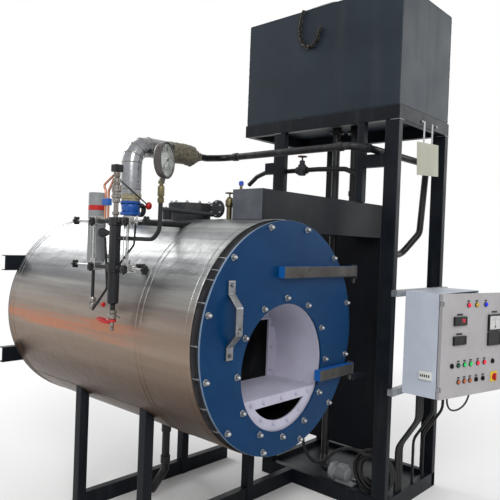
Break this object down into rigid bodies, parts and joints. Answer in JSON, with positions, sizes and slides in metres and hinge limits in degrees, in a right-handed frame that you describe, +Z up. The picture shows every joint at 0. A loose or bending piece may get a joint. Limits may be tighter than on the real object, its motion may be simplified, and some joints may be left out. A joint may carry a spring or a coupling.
{
  "type": "industrial boiler",
  "caption": "Horizontal shell steam boiler in ribbed metal cladding with a hinged round front door, a feed tank on a tall stand, a flue casing and a control panel.",
  "frame": {"origin": "on the floor under the boiler's axis, at the middle of the front cross beam's underside", "axes": "+X to the right seen from the front, +Y from the front door to the rear, +Z up"},
  "size_m": [2.3999, 2.5025, 3.4033],
  "materials": {
    "blue_paint": "satin",
    "bare_steel": "rough",
    "frame_grey": "satin",
    "white_coating": "matt",
    "dark_iron": "matt",
    "mineral_wool": "matt",
    "cladding_sheet": "brushed",
    "tank_grey": "satin",
    "galvanised": "satin",
    "panel_paint": "satin",
    "lagging_cloth": "matt",
    "black_pipe": "satin",
    "pump_grey": "satin",
    "valve_blue": "satin",
    "gauge_steel": "polished",
    "rusty_steel": "rough",
    "sign_paint": "satin",
    "black_plastic": "satin",
    "black_rubber": "matt"
  },
  "bodies": {
    "plant": {"hinge_lugs": "frame_grey", "hinge_pins": "bare_steel", "front_tube_plate": "frame_grey", "throat_lining": "white_coating", "throat_back_plate": "white_coating", "fire_shelf": "white_coating", "ash_frame": "bare_steel", "furnace_tube": "dark_iron", "pressure_shell": "dark_iron", "insulation": "mineral_wool", "cladding_front": "cladding_sheet", "cladding_main": "cladding_sheet", "rear_cover": "dark_iron", "rear_channels": "frame_grey", "legs": "frame_grey", "cross_beams": "frame_grey", "base_beams": "frame_grey", "deck_plate": "frame_grey", "stand_posts": "frame_grey", "tank_tray": "frame_grey", "tank_floor": "tank_grey", "tank_walls": "tank_grey", "tank_top": "tank_grey", "flue_duct": "frame_grey", "flue_casing": "frame_grey", "panel_rails": "galvanised", "panel_box": "panel_paint", "panel_hinges": "galvanised", "steam_riser": "cladding_sheet", "pipe_lagging": "lagging_cloth", "stand_brackets": "frame_grey", "steam_pipe": "black_pipe", "feed_pipes": "black_pipe", "feed_pump": "pump_grey", "boiler_valves": "valve_blue", "manhole": "dark_iron", "level_column": "black_pipe", "level_gauges": "gauge_steel", "float_chamber": "pump_grey", "level_switch": "black_pipe", "safety_valve": "gauge_steel", "gauge_syphon": "gauge_steel", "pressure_gauge": "gauge_steel", "drain_pipe": "black_pipe", "tank_hatch": "tank_grey", "hatch_chain": "rusty_steel", "sign_plate": "sign_paint", "breaker_cover": "black_plastic", "panel_conduits": "black_plastic", "panel_glands": "black_plastic", "panel_cable": "black_rubber", "hose_coil": "black_rubber", "hose_tap": "gauge_steel", "hose_tail": "black_rubber"},
    "front_door": {"front_door_plate": "blue_paint", "door_handle": "bare_steel", "hinge_arms": "blue_paint"},
    "panel_door": {"panel_door": "panel_paint", "panel_instruments": "black_plastic"}
  },
  "joints": [
    {"name": "front_door_hinge", "type": "hinge", "parent": "plant", "child": "front_door", "pos_m": [0.622, -0.621, 1.195], "axis": [0, 0, 1], "range_deg": [0, 90]},
    {"name": "panel_door_hinge", "type": "hinge", "parent": "plant", "child": "panel_door", "pos_m": [0.97, -1.028, 1.1], "axis": [0, 0, -1], "range_deg": [-14, 86]}
  ]
}
